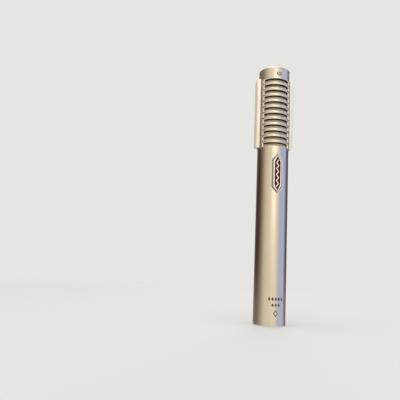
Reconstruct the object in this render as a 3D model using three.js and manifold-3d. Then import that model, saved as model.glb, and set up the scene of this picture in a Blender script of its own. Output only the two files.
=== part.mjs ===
// Side-address ribbon microphone, standing upright on its connector end.
// Millimetres. +Z runs up the body to the closed top, the front window faces -Y,
// the two magnet housings stand out at +X and -X. Origin: centre of the bottom rim.
import * as THREE from 'three';
import { mergeVertices } from 'three/addons/utils/BufferGeometryUtils.js';
import Module from 'manifold-3d';

const wasm = await Module();
wasm.setup();
const { Manifold, Mesh: SolidMesh } = wasm;

// ---------------------------------------------------------------- driving dimensions
const LENGTH = 206;            // whole body, rim to top
const R_OUT = 12.5;            // body tube outside (25 mm)
const WALL = 1.6;              // body tube wall
const R_IN = R_OUT - WALL;
const GAP = 0.3;               // fit between touching pieces
const SEG = 48;                // facets round the body tube

const CAP_SEAM = 204.1;        // tube ends here, the cap's visible rim starts one gap above
const RIM_CHAMFER = 0.55;      // bottom edge
const CAP_CHAMFER = 0.9;       // top edge

const SLOT_COUNT = 12;         // slots in each window
const SLOT_PITCH = 4.855;
const SLOT_HEIGHT = 2.75;
const SLOT_TOP = 195.6;        // upper edge of the first slot
const SLOT_HALF_ANGLE = 60;    // degrees each side of front and of rear

const EAR_R = 15.5;            // magnet housing outer face, from the axis
const EAR_HALF = 3.8;          // half thickness along Y
const EAR_Z0 = 139.2;
const EAR_Z1 = 197.3;
const EAR_CORNER = 1.6;        // rounding of the long outer corners
const EAR_END = 2.2;           // rounding of the two ends

const CAP_SCREW_Z = 200.1;
const CAP_SCREW_R = 1.65;

const BADGE_Z0 = 101.3;        // hexagonal pocket milled into the tube, with a flat floor
const BADGE_Z1 = 132.8;
const BADGE_FACE = 13.2;       // badge's face, from the axis
const BADGE_HALF = 4.15;
const BADGE_POINT = 4.6;       // length of each pointed end
const BADGE_SEAT = 11.3;     // pocket floor's distance from the axis
const BADGE_INSET = 1.0;      // badge outline inside the pocket's outline
const BADGE_BORDER = 0.93;

const RIBBON_W = 4.75;
const RIBBON_L = 44.5;         // free length between the clamps
const RIBBON_Z = 167.5;        // its middle
const RIBBON_Y = -1.4;         // set forward of the axis
const RIBBON_T = 0.14;
const POLE_GAP = 5.5;

const PAD_SWITCH_Z = 50;
const BASS_SWITCH_Z = 38;
const SWITCH_TRAVEL = 2.4;

const PIN_R = 1.2;             // connector contacts, 2.4 mm
const PIN_CIRCLE = 4.6;
const SHELL_R = 9.5;           // inside of the connector shell

// ---------------------------------------------------------------- helpers
function clean(geometry) {
  let g = geometry.index ? geometry.toNonIndexed() : geometry.clone();
  for (const k of Object.keys(g.attributes)) if (k !== 'position') g.deleteAttribute(k);
  g = mergeVertices(g, 1e-4);
  const p = g.attributes.position, ix = g.index.array, out = [];
  let vol = 0;
  const a = new THREE.Vector3(), b = new THREE.Vector3(), c = new THREE.Vector3();
  for (let i = 0; i < ix.length; i += 3) {
    const [u, v, w] = [ix[i], ix[i + 1], ix[i + 2]];
    if (u === v || v === w || w === u) continue;
    out.push(u, v, w);
    a.fromBufferAttribute(p, u); b.fromBufferAttribute(p, v); c.fromBufferAttribute(p, w);
    vol += a.dot(b.cross(c));
  }
  if (vol < 0) for (let i = 0; i < out.length; i += 3) [out[i + 1], out[i + 2]] = [out[i + 2], out[i + 1]];
  g.setIndex(out);
  return g;
}
function solid(geometry) {
  const g = clean(geometry);
  return new Manifold(new SolidMesh({
    numProp: 3,
    vertProperties: new Float32Array(g.attributes.position.array),
    triVerts: new Uint32Array(g.index.array),
  }));
}
function geometryOf(man) {
  const m = man.getMesh();
  const n = m.vertProperties.length / m.numProp;
  const pos = new Float32Array(n * 3);
  for (let i = 0; i < n; i++) for (let k = 0; k < 3; k++) pos[i * 3 + k] = m.vertProperties[i * m.numProp + k];
  const g = new THREE.BufferGeometry();
  g.setAttribute('position', new THREE.BufferAttribute(pos, 3));
  g.setIndex(Array.from(m.triVerts));
  g.computeVertexNormals();
  return g;
}
// closed profile [[r, z], ...] turned about Z
function turned(profile, seg = 28) {
  const pts = profile.map(([r, z]) => new THREE.Vector2(r, z));
  if (profile[0][0] > 0 || profile[profile.length - 1][0] > 0) pts.push(pts[0].clone());
  const g = new THREE.LatheGeometry(pts, seg);
  g.rotateX(Math.PI / 2);
  return solid(g);
}
const ring = (r0, r1, z0, z1, seg) => turned([[r0, z0], [r1, z0], [r1, z1], [r0, z1]], seg);
const disc = (r, z0, z1, seg) => turned([[0, z0], [r, z0], [r, z1], [0, z1]], seg);
function block(x0, x1, y0, y1, z0, z1) {
  const g = new THREE.BoxGeometry(x1 - x0, y1 - y0, z1 - z0);
  g.translate((x0 + x1) / 2, (y0 + y1) / 2, (z0 + z1) / 2);
  return solid(g);
}
// outline [[u, v], ...] pushed along z, y or x
function prism(outline, lo, hi, along = 'z') {
  const shape = new THREE.Shape(outline.map(([u, v]) => new THREE.Vector2(u, v)));
  const g = new THREE.ExtrudeGeometry(shape, { depth: hi - lo, bevelEnabled: false, curveSegments: 6 });
  g.translate(0, 0, lo);
  if (along === 'y') { g.rotateX(Math.PI / 2); g.scale(1, -1, 1); }        // (u, v) = (x, z)
  if (along === 'x') { g.rotateY(Math.PI / 2); g.rotateX(Math.PI / 2); }   // (u, v) = (y, z)
  return solid(g);
}
// round bar of profile [[r, along], ...] from point `at` in direction `dir`
function bar(profile, at, dir, seg = 12) {
  const pts = profile.map(([r, z]) => new THREE.Vector2(r, z));
  if (profile[0][0] > 0) pts.push(pts[0].clone());
  const g = new THREE.LatheGeometry(pts, seg);
  const q = new THREE.Quaternion().setFromUnitVectors(new THREE.Vector3(0, 1, 0), new THREE.Vector3(...dir).normalize());
  g.applyQuaternion(q);
  g.translate(...at);
  return solid(g);
}
const rod = (r, at, dir, len, seg = 12) => bar([[0, 0], [r, 0], [r, len], [0, len]], at, dir, seg);
function wire(points, r = 0.35) {
  const path = new THREE.CatmullRomCurve3(points.map((p) => new THREE.Vector3(...p)), false, 'centripetal');
  const shape = new THREE.Shape();
  for (let i = 0; i < 6; i++) {
    const a = (i / 6) * 2 * Math.PI;
    if (i === 0) shape.moveTo(r, 0); else shape.lineTo(r * Math.cos(a), r * Math.sin(a));
  }
  shape.closePath();
  return solid(new THREE.ExtrudeGeometry(shape, { steps: Math.max(8, points.length * 3), bevelEnabled: false, extrudePath: path }));
}
const deg = (a) => (a * Math.PI) / 180;
// point of a circle at an azimuth measured from the front (-Y) toward +X
const around = (r, az) => [r * Math.sin(deg(az)), -r * Math.cos(deg(az))];
const union = (list) => list.reduce((a, b) => a.add(b));

const group = new THREE.Group();
function put(name, man, color, roughness, metalness) {
  const mesh = new THREE.Mesh(geometryOf(man), new THREE.MeshStandardMaterial({ color, roughness, metalness }));
  mesh.name = name;
  group.add(mesh);
}
const NICKEL = [0xc9b99d, 0.38, 1.0];
const EARMETAL = [0xe6dcc2, 0.42, 1.0];
const STEEL = [0xb8b4aa, 0.35, 1.0];
const DARKSTEEL = [0x5d5b58, 0.45, 1.0];
const MESHWIRE = [0x8d846a, 0.5, 1.0];
const ALU = [0xd5d6d8, 0.35, 1.0];
const MAGNET = [0x8f9297, 0.3, 1.0];
const BRASS = [0xb8934a, 0.35, 1.0];
const COPPER = [0xb06a3a, 0.4, 1.0];
const BLACKPLASTIC = [0x1b1b1d, 0.55, 0.0];
const GLASSFIBRE = [0x2f6b43, 0.5, 0.0];
const RUBBER = [0x222222, 0.85, 0.0];
const RED = [0x7a1218, 0.25, 0.0];
const WIRERED = [0x9c2b22, 0.5, 0.0];
const WIREWHITE = [0xd9d6cc, 0.5, 0.0];
const FILM = [0xa63a2a, 0.35, 0.0];

// ---------------------------------------------------------------- body tube
const hexagon = (grow) => {
  const h = BADGE_HALF + grow, p = BADGE_POINT, z0 = BADGE_Z0 - grow * 0.9, z1 = BADGE_Z1 + grow * 0.9;
  return [[0, z0], [h, z0 + p], [h, z1 - p], [0, z1], [-h, z1 - p], [-h, z0 + p]];
};
function slotCutter(az, zLow) {
  const n = 8, pts = [];
  for (let i = 0; i <= n; i++) pts.push(around(14.2, az - SLOT_HALF_ANGLE + (2 * SLOT_HALF_ANGLE * i) / n));
  for (let i = n; i >= 0; i--) pts.push(around(9.8, az - SLOT_HALF_ANGLE + (2 * SLOT_HALF_ANGLE * i) / n));
  return prism(pts, zLow, zLow + SLOT_HEIGHT);
}
let tube = turned([
  [R_IN, 0], [R_OUT - RIM_CHAMFER, 0], [R_OUT, RIM_CHAMFER], [R_OUT, CAP_SEAM], [R_IN, CAP_SEAM],
], SEG);
const cuts = [];
for (let i = 0; i < SLOT_COUNT; i++) {
  const low = SLOT_TOP - SLOT_HEIGHT - i * SLOT_PITCH;
  cuts.push(slotCutter(0, low), slotCutter(180, low));
}
for (const s of [-1, 1]) {
  cuts.push(block(Math.min(s * 9, s * 14), Math.max(s * 9, s * 14), -EAR_HALF - GAP, EAR_HALF + GAP, EAR_Z0 - GAP, EAR_Z1 + GAP));
}
for (const az of [0, 90, 180, 270]) {
  const [dx, dy] = around(1, az);
  cuts.push(rod(CAP_SCREW_R + GAP, [dx * 9, dy * 9, CAP_SCREW_Z], [dx, dy, 0], 5, 16));
}
for (const z of [PAD_SWITCH_Z, BASS_SWITCH_Z]) {
  cuts.push(block(-1.3, 1.3, 9, 14, z - 1.3 - SWITCH_TRAVEL / 2 - 0.35, z + 1.3 + SWITCH_TRAVEL / 2 + 0.35));
}
cuts.push(rod(1.6, [0, 9, 17.5], [0, 1, 0], 5, 16));
cuts.push(prism(hexagon(0), -20, -BADGE_SEAT, 'y'));
tube = tube.subtract(union(cuts));
put('body_tube', tube, ...NICKEL);

// ---------------------------------------------------------------- top cap: visible rim and a plug inside the tube
let cap = turned([
  [0, LENGTH], [R_OUT - CAP_CHAMFER, LENGTH], [R_OUT, LENGTH - CAP_CHAMFER], [R_OUT, CAP_SEAM + GAP],
  [R_IN - GAP, CAP_SEAM + GAP], [R_IN - GAP, 197.2], [8.8, 197.2], [8.8, 202.2], [0, 202.2],
], SEG);
for (const az of [0, 90, 180, 270]) {
  const [dx, dy] = around(1, az);
  cap = cap.subtract(rod(1.3, [dx * 7, dy * 7, CAP_SCREW_Z], [dx, dy, 0], 6, 12));
}
// the magnet housings reach into the plug's end, so it is notched there
for (const s of [-1, 1]) cap = cap.subtract(block(Math.min(s * 8, s * 13), Math.max(s * 8, s * 13), -EAR_HALF - GAP, EAR_HALF + GAP, 196, EAR_Z1 + GAP));
put('top_cap', cap, ...NICKEL);

const names = { 0: 'front', 90: 'right', 180: 'rear', 270: 'left' };
for (const az of [0, 90, 180, 270]) {
  const [dx, dy] = around(1, az);
  const at = [dx * 9.1, dy * 9.1, CAP_SCREW_Z], d = [dx, dy, 0];
  let s = bar([[0, 0], [1.0, 0], [1.0, 2.4], [CAP_SCREW_R, 2.4], [CAP_SCREW_R, 3.2], [CAP_SCREW_R - 0.25, 3.35], [0, 3.35]], at, d, 12);
  s = s.subtract(rod(0.75, [dx * 11.6, dy * 11.6, CAP_SCREW_Z], d, 2, 6));
  put('cap_screw_' + names[az], s, ...STEEL);
}

// ---------------------------------------------------------------- wire screens behind the two windows
for (const [nm, az] of [['front', 0], ['rear', 180]]) {
  const n = 22, half = 64, pts = [];
  for (let i = 0; i <= n; i++) pts.push(around(10.6, az - half + (2 * half * i) / n));
  for (let i = n; i >= 0; i--) pts.push(around(10.3, az - half + (2 * half * i) / n));
  put('screen_' + nm, prism(pts, 137.6, 196.9), ...MESHWIRE);
}

// ---------------------------------------------------------------- magnet housings, magnets, pole pieces
function rounded(u0, u1, v0, v1, r, n = 4) {
  // rectangle with its two far corners (u1 side) rounded
  const p = [[u0, v0]];
  for (let i = 0; i <= n; i++) { const a = deg(-90 + (90 * i) / n); p.push([u1 - r + r * Math.cos(a), v0 + r + r * Math.sin(a)]); }
  for (let i = 0; i <= n; i++) { const a = deg((90 * i) / n); p.push([u1 - r + r * Math.cos(a), v1 - r + r * Math.sin(a)]); }
  p.push([u0, v1]);
  return p;
}
for (const [nm, s] of [['left', -1], ['right', 1]]) {
  const flat = (pts) => (s > 0 ? pts : pts.map(([u, v]) => [-u, v]).reverse());
  const plan = prism(flat(rounded(10.2, EAR_R, -EAR_HALF, EAR_HALF, EAR_CORNER)), EAR_Z0, EAR_Z1);
  const side = prism(flat(rounded(9, EAR_R, EAR_Z0, EAR_Z1, EAR_END)), -6, 6, 'y');
  const hollow = block(...(s > 0 ? [9, 14.2] : [-14.2, -9]), -2.95, 2.95, 141.4, 195.2);
  put('magnet_housing_' + nm, plan.intersect(side).subtract(hollow), ...EARMETAL);
  put('magnet_' + nm, block(...(s > 0 ? [10.3, 13.9] : [-13.9, -10.3]), -2.6, 2.6, 141.8, 194.8), ...MAGNET);
  const g2 = POLE_GAP / 2;
  const tip = [[g2, RIBBON_Y - 0.9], [6.0, -3.3], [9.9, -3.3], [9.9, 2.9], [6.0, 2.9], [g2, RIBBON_Y + 0.9]];
  put('pole_piece_' + nm, prism(flat(tip), 145.7, 189.3), ...DARKSTEEL);
}

// ---------------------------------------------------------------- end plates of the motor
const LEADS = [[6.9, -5.2], [-6.9, -5.2]];
for (const [nm, z0, z1] of [['upper', 194.3, 196.6], ['lower', 138.5, 140.9]]) {
  let p = disc(9.85, z0, z1, 28);
  if (nm === 'lower') for (const [x, y] of LEADS) p = p.subtract(rod(0.85, [x, y, z0 - 1], [0, 0, 1], 5, 8));
  put('motor_plate_' + nm, p, ...BLACKPLASTIC);
}

// ---------------------------------------------------------------- ribbon, pleated across its length, flat at both clamped ends
{
  const n = 34, half = RIBBON_L / 2, front = [], back = [];
  const y = (i) => RIBBON_Y + (i % 2 ? 0.28 : -0.28);
  front.push([RIBBON_Y - RIBBON_T / 2, RIBBON_Z - half - 3.0], [RIBBON_Y - RIBBON_T / 2, RIBBON_Z - half]);
  back.push([RIBBON_Y + RIBBON_T / 2, RIBBON_Z - half - 3.0], [RIBBON_Y + RIBBON_T / 2, RIBBON_Z - half]);
  for (let i = 1; i < 2 * n; i++) {
    const z = RIBBON_Z - half + (RIBBON_L * i) / (2 * n);
    front.push([y(i) - RIBBON_T / 2, z]);
    back.push([y(i) + RIBBON_T / 2, z]);
  }
  front.push([RIBBON_Y - RIBBON_T / 2, RIBBON_Z + half], [RIBBON_Y - RIBBON_T / 2, RIBBON_Z + half + 3.0]);
  back.push([RIBBON_Y + RIBBON_T / 2, RIBBON_Z + half], [RIBBON_Y + RIBBON_T / 2, RIBBON_Z + half + 3.0]);
  put('ribbon', prism([...front, ...back.reverse()], -RIBBON_W / 2, RIBBON_W / 2, 'x'), ...ALU);
}

// ---------------------------------------------------------------- ribbon clamps
for (const [nm, z0, z1] of [['upper', 189.85, 193.9], ['lower', 141.2, 145.15]]) {
  const zm = (z0 + z1) / 2;
  let base = block(-8.6, 8.6, -0.9, 4.6, z0, z1);
  let clamp = block(-6.4, 6.4, -3.2, -1.9, z0 + 0.3, z1 - 0.3);
  for (const s of [-1, 1]) {
    base = base.subtract(rod(0.95, [s * 4.6, -2, zm], [0, 1, 0], 4.4, 10));
    clamp = clamp.subtract(rod(0.95, [s * 4.6, -4, zm], [0, 1, 0], 4, 10));
    let sc = bar([[0, 0], [1.15, 0], [1.15, 0.8], [0.62, 0.8], [0.62, 4.6], [0, 4.6]], [s * 4.6, -4.3, zm], [0, 1, 0], 12);
    sc = sc.subtract(block(s * 4.6 - 0.15, s * 4.6 + 0.15, -5, -4.0, zm - 2, zm + 2));
    put(`clamp_screw_${nm}_${s < 0 ? 'left' : 'right'}`, sc, ...BRASS);
  }
  put('clamp_base_' + nm, base, ...BLACKPLASTIC);
  put('clamp_bar_' + nm, clamp, ...BRASS);
}

// ---------------------------------------------------------------- soft mounting of the motor
put('isolator_upper', turned([[5.2, 196.9], [8.0, 196.9], [8.4, 199.3], [8.0, 201.8], [5.2, 201.8], [5.6, 199.3]], 20), ...RUBBER);
put('isolator_lower', turned([[4.6, 134.7], [7.4, 134.7], [7.8, 136.4], [7.4, 138.2], [4.6, 138.2], [5.0, 136.4]], 20), ...RUBBER);
let bracket = ring(3.2, R_IN - GAP, 131.7, 134.4, 28);
for (const [x, y] of LEADS) bracket = bracket.subtract(rod(0.85, [x, y, 130], [0, 0, 1], 6, 8));
put('transformer_bracket', bracket, ...DARKSTEEL);

// ---------------------------------------------------------------- transformer in its shielding can
const SEC = [[6.6, 5.2], [-6.6, 5.2]];
let can = turned([[0, 104.0], [10.2, 104.0], [10.2, 131.3], [9.4, 131.3], [9.4, 105.2], [0, 105.2]], 28);
can = can.subtract(rod(1.75, [0, 0, 103], [0, 0, 1], 4, 12));
for (const [x, y] of SEC) can = can.subtract(rod(0.85, [x, y, 103], [0, 0, 1], 4, 8));
put('transformer_can', can, ...STEEL);
put('transformer_core', ring(4.3, 7.3, 109.3, 120.7, 24), ...DARKSTEEL);
{
  const wound = ring(3.4, 8.3, 108.2, 121.8, 24).subtract(ring(4.0, 7.6, 109.0, 121.0, 24));
  put('winding_primary', wound.intersect(block(-12, 12, -12, -0.7, 100, 130)), ...COPPER);
  put('winding_secondary', wound.intersect(block(-12, 12, 0.7, 12, 100, 130)), ...COPPER);
}
put('transformer_bolt', bar([[0, 0], [2.6, 0], [2.6, 1.6], [1.4, 1.6], [1.4, 20.6], [2.6, 20.6], [2.6, 22.8], [0, 22.8]], [0, 0, 102.05], [0, 0, 1], 12)
  .subtract(block(-5, 5, -0.35, 0.35, 124.1, 126)), ...STEEL);

// ---------------------------------------------------------------- circuit board and its brackets
let up = disc(R_IN - GAP, 98.6, 101.7, 28).subtract(block(-9.6, 9.6, -1.1, 1.1, 97, 100.0));
for (const [x, y] of SEC) up = up.subtract(rod(0.95, [x, y, 97], [0, 0, 1], 6, 8));
put('board_bracket_upper', up, ...BLACKPLASTIC);
put('circuit_board', block(-9.2, 9.2, -0.8, 0.8, 27.6, 99.6), ...GLASSFIBRE);
put('board_bracket_lower', ring(6.2, R_IN - GAP, 25.0, 29.0, 28).subtract(block(-9.6, 9.6, -1.1, 1.1, 27.2, 30)), ...BLACKPLASTIC);
put('capacitor_electrolytic', rod(3.1, [0, -4.3, 62], [0, 0, 1], 11.5, 20), 0x23324d, 0.4, 0.0);
put('capacitor_film', block(-5.2, 5.2, -6.1, -1.1, 45.0, 55.0), ...FILM);
{
  const pts = [[-2.3, -1.1], [2.3, -1.1], [2.3, -2.6]];
  for (let i = 1; i < 6; i++) pts.push([2.3 * Math.cos(deg(180 - 180 + (180 * i) / 6)), -2.6 - 2.3 * Math.sin(deg((180 * i) / 6))]);
  pts.push([-2.3, -2.6]);
  put('input_transistor_pair', prism(pts, 82, 87), ...BLACKPLASTIC);
}

// ---------------------------------------------------------------- two recessed slide switches at the rear
for (const [nm, z] of [['pad', PAD_SWITCH_Z], ['bass_cut', BASS_SWITCH_Z]]) {
  const reach = 1.3 + SWITCH_TRAVEL / 2 + 0.35;
  const body = block(-3.2, 3.2, 1.1, 8.7, z - 4.6, z + 4.6).subtract(block(-1.25, 1.25, 6.0, 10, z - reach, z + reach));
  put(nm + '_switch_body', body, ...STEEL);
  // the button rests at the lower end of its travel
  const zc = z - SWITCH_TRAVEL / 2;
  let knob = block(-0.9, 0.9, 6.4, 11.8, zc - 1.3, zc + 1.3);
  for (const k of [-0.7, 0, 0.7]) knob = knob.subtract(block(-1, 1, 11.5, 12, zc + k - 0.15, zc + k + 0.15));
  put(nm + '_switch_button', knob, ...BLACKPLASTIC);
}

// ---------------------------------------------------------------- three-contact connector, set into the bottom end
let shell = turned([[SHELL_R, 0.5], [R_IN - GAP, 0.5], [R_IN - GAP, 20.6], [SHELL_R, 20.6]], SEG);
shell = shell.add(block(-1.05, 1.05, 8.7, 10.2, 1.2, 14.2));                 // key rib
shell = shell.subtract(rod(1.3, [0, 8, 17.5], [0, 1, 0], 4, 12));            // retaining screw
shell = shell.subtract(block(-2.2, 2.2, -12, -8, 8.0, 11.0));                // latch notch
put('connector_shell', shell, ...STEEL);
const PINS = [[1, 45], [2, 135], [3, 270]].map(([n, a]) => [n, PIN_CIRCLE * Math.cos(deg(a)), PIN_CIRCLE * Math.sin(deg(a))]);
let insert = disc(SHELL_R - GAP, 14.8, 20.2, 32);
insert = insert.subtract(rod(1.3, [0, 6.5, 17.5], [0, 1, 0], 4, 12));
for (const [, x, y] of PINS) insert = insert.subtract(rod(PIN_R + GAP, [x, y, 14], [0, 0, 1], 8, 12));
put('connector_insert', insert, ...BLACKPLASTIC);
for (const [n, x, y] of PINS) {
  put('contact_pin_' + n, bar([[0, 0], [0.6, 0.15], [1.05, 0.7], [PIN_R, 1.4], [PIN_R, 22.2], [0, 22.2]], [x, y, 1.8], [0, 0, 1], 14), ...BRASS);
}
put('connector_screw', bar([[0, 0], [0.98, 0], [0.98, 4.9], [0, 4.9]], [0, 7.2, 17.5], [0, 1, 0], 12)
  .subtract(block(-2, 2, 11.6, 13, 17.35, 17.65)), ...STEEL);

// ---------------------------------------------------------------- badge, a flat plate in its milled seat
{
  const back = -BADGE_SEAT - GAP;
  const outer = prism(hexagon(-BADGE_INSET), -BADGE_FACE, back, 'y');
  const field = prism(hexagon(-BADGE_INSET - BADGE_BORDER), -14, -10, 'y');
  put('badge_bezel', outer.subtract(field), ...ALU);
  put('badge_enamel', prism(hexagon(-BADGE_INSET - BADGE_BORDER - GAP), -BADGE_FACE + 0.2, back, 'y'), ...RED);
}

// ---------------------------------------------------------------- wiring
const [[lx, ly], [mx, my]] = LEADS;
put('ribbon_lead_upper', wire([[6.9, -2.6, 192.2], [7.3, -3.9, 191.2], [lx, ly, 188.5], [lx, ly, 170], [lx, ly, 150], [lx, ly, 137], [lx, ly, 129], [5.6, -4.6, 124.6], [5.4, -4.2, 122.6]]), ...WIREWHITE);
put('ribbon_lead_lower', wire([[-6.9, -2.6, 143.6], [-7.3, -4.2, 143.0], [mx, my, 140], [mx, my, 134], [mx, my, 129], [-5.6, -4.6, 124.6], [-5.4, -4.2, 122.6]]), ...WIREWHITE);
SEC.forEach(([x, y], i) => put('transformer_lead_' + (i ? 'left' : 'right'),
  wire([[x, y, 107.6], [x, y, 103], [x, y, 98], [x * 0.95, 3.4, 94], [x * 0.9, 1.6, 91.5]]), ...(i ? WIREWHITE : WIRERED)));
PINS.forEach(([n, x, y]) => {
  const side = y > 0 ? 1 : -1;
  put('connector_lead_' + n, wire([[x, y, 24.5], [x, y * 0.95, 27], [x * 0.95, side * 2.6, 30.2], [x * 0.9, side * 1.55, 32.2]]), ...(n === 1 ? WIREWHITE : WIRERED));
});

export default group;
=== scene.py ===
import math

import bpy
import bmesh
import numpy as np
from mathutils import Matrix, Vector


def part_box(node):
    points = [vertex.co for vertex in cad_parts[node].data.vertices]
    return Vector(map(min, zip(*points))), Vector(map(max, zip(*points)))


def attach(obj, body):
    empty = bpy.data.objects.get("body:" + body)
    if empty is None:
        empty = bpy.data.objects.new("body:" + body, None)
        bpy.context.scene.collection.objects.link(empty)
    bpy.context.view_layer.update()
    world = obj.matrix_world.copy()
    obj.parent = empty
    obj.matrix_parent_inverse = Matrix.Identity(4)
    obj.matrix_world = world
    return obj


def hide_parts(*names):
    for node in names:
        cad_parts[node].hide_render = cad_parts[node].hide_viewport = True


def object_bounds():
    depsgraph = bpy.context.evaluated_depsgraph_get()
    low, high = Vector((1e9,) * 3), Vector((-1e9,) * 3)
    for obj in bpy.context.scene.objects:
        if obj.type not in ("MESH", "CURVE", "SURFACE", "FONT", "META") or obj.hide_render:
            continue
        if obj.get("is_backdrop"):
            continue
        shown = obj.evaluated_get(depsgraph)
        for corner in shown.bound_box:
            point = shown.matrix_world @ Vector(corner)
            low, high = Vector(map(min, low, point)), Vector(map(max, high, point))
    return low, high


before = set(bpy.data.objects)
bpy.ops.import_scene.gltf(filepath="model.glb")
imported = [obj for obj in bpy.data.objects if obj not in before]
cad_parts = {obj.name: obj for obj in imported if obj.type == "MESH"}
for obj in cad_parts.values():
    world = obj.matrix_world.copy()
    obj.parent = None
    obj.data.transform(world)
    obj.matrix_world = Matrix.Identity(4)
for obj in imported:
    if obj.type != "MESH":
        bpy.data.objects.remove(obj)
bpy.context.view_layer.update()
MM = 0.001


# ------------------------------------------------------------------ sizes read back from the frame
def span(node):
    lo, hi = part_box(node)
    return np.array(lo) / MM, np.array(hi) / MM


tube_lo, tube_hi = span("body_tube")
cap_lo, cap_hi = span("top_cap")
ear_lo, ear_hi = span("magnet_housing_right")
bez_lo, bez_hi = span("badge_bezel")
ena_lo, ena_hi = span("badge_enamel")
scr_lo, scr_hi = span("cap_screw_front")
R = 12.5
R_IN = 10.9
LENGTH = cap_hi[2]
SEAM = tube_hi[2]
SLOTS, PITCH, SLOT_H, SLOT_TOP, HALF_ANGLE = 12, 4.855, 2.75, 195.6, 60.0
EAR_R, EAR_HALF, EAR_Z0, EAR_Z1 = ear_hi[0], ear_hi[1], ear_lo[2], ear_hi[2]
SCREW_Z = (scr_lo[2] + scr_hi[2]) / 2
SWITCH_TRAVEL = 2.4


# ------------------------------------------------------------------ mesh helpers (all in millimetres until made)
def link(o):
    bpy.context.scene.collection.objects.link(o)
    return o


def make(name, verts, faces):
    me = bpy.data.meshes.new(name)
    me.from_pydata([tuple(float(c) * MM for c in v) for v in verts], [], [list(map(int, f)) for f in faces])
    me.validate()
    bm = bmesh.new()
    bm.from_mesh(me)
    bmesh.ops.remove_doubles(bm, verts=bm.verts, dist=1e-8)
    bmesh.ops.recalc_face_normals(bm, faces=bm.faces)
    bm.to_mesh(me)
    bm.free()
    return link(bpy.data.objects.new(name, me))


def az(r, deg, z):
    """A point at radius r, azimuth in degrees from the front (-Y) toward +X."""
    a = math.radians(deg)
    return (r * math.sin(a), -r * math.cos(a), z)


def loft(rings, close_u=True, cap=True, close_v=False):
    """Verts and faces of rings of points joined in order."""
    n = len(rings[0])
    verts = [p for ring in rings for p in ring]
    faces = []
    m = len(rings)
    for j in range(m if close_v else m - 1):
        k = (j + 1) % m
        for i in range(n if close_u else n - 1):
            i2 = (i + 1) % n
            faces.append((j * n + i, j * n + i2, k * n + i2, k * n + i))
    if cap and not close_v:
        faces.append(tuple(range(n - 1, -1, -1)))
        faces.append(tuple((m - 1) * n + i for i in range(n)))
    return verts, faces


def turned(profile, seg=96, centre=(0, 0), closed=True):
    """A profile of (r, z) turned about Z. Points with r 0 are poles; a profile without poles closes on itself."""
    verts, rows, faces = [], [], []
    for r, z in profile:
        if r < 1e-9:
            rows.append([len(verts)] * seg)
            verts.append((centre[0], centre[1], z))
        else:
            row = []
            for i in range(seg):
                a = 2 * math.pi * i / seg
                row.append(len(verts))
                verts.append((centre[0] + r * math.sin(a), centre[1] - r * math.cos(a), z))
            rows.append(row)
    m = len(rows)
    pole = profile[0][0] < 1e-9 or profile[-1][0] < 1e-9
    for j in range(m - 1 if pole else m):
        a, b = rows[j], rows[(j + 1) % m]
        for i in range(seg):
            k = (i + 1) % seg
            q = []
            for v in (a[i], a[k], b[k], b[i]):
                if v not in q:
                    q.append(v)
            if len(q) > 2:
                faces.append(tuple(q))
    return verts, faces


def arc(cx, cz, r, a0, a1, n):
    return [(cx + r * math.cos(math.radians(a0 + (a1 - a0) * i / n)), cz + r * math.sin(math.radians(a0 + (a1 - a0) * i / n))) for i in range(n + 1)]


def moved(vf, matrix):
    v, f = vf
    return [tuple(matrix @ Vector(p)) for p in v], f


def joined(*parts):
    verts, faces = [], []
    for v, f in parts:
        k = len(verts)
        verts += list(v)
        faces += [tuple(i + k for i in q) for q in f]
    return verts, faces


def block(x0, x1, y0, y1, z0, z1):
    v = [(x, y, z) for x in (x0, x1) for y in (y0, y1) for z in (z0, z1)]
    return v, [(0, 1, 3, 2), (4, 6, 7, 5), (0, 4, 5, 1), (2, 3, 7, 6), (0, 2, 6, 4), (1, 5, 7, 3)]


def prism(outline, lo, hi, along="z"):
    def at(u, v, w):
        return {"z": (u, v, w), "y": (u, w, v), "x": (w, u, v)}[along]

    return loft([[at(u, v, lo) for u, v in outline], [at(u, v, hi) for u, v in outline]])


def pointing(direction, at):
    """Matrix that turns +Z to direction and moves the origin to at."""
    q = Vector((0, 0, 1)).rotation_difference(Vector(direction).normalized())
    return Matrix.Translation(Vector(at)) @ q.to_matrix().to_4x4()


def cut(o, tools, mode="DIFFERENCE", solver="MANIFOLD"):
    """Boolean of o with each tool (verts, faces), applied."""
    v, f = joined(*tools)
    t = make("cutter", v, f)
    mod = o.modifiers.new("cut", "BOOLEAN")
    mod.operation = mode
    mod.solver = solver
    mod.object = t
    dg = bpy.context.evaluated_depsgraph_get()
    dg.update()
    me = bpy.data.meshes.new_from_object(o.evaluated_get(dg))
    o.modifiers.clear()
    old = o.data
    o.data = me
    bpy.data.meshes.remove(old)
    tm = t.data
    bpy.data.objects.remove(t)
    bpy.data.meshes.remove(tm)
    return o


def bevelled(o, width, segments=3, angle=35, harden=False):
    """Rounds every edge sharper than angle, applied."""
    mod = o.modifiers.new("bevel", "BEVEL")
    mod.width = width * MM
    mod.segments = segments
    mod.limit_method = "ANGLE"
    mod.angle_limit = math.radians(angle)
    mod.miter_outer = "MITER_ARC"
    mod.harden_normals = False
    mod.use_clamp_overlap = True
    dg = bpy.context.evaluated_depsgraph_get()
    dg.update()
    me = bpy.data.meshes.new_from_object(o.evaluated_get(dg))
    o.modifiers.clear()
    old = o.data
    o.data = me
    bpy.data.meshes.remove(old)
    return o


def smooth(o, angle=32):
    me = o.data
    me.shade_smooth()
    me.set_sharp_from_angle(angle=math.radians(angle))
    return o


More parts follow.
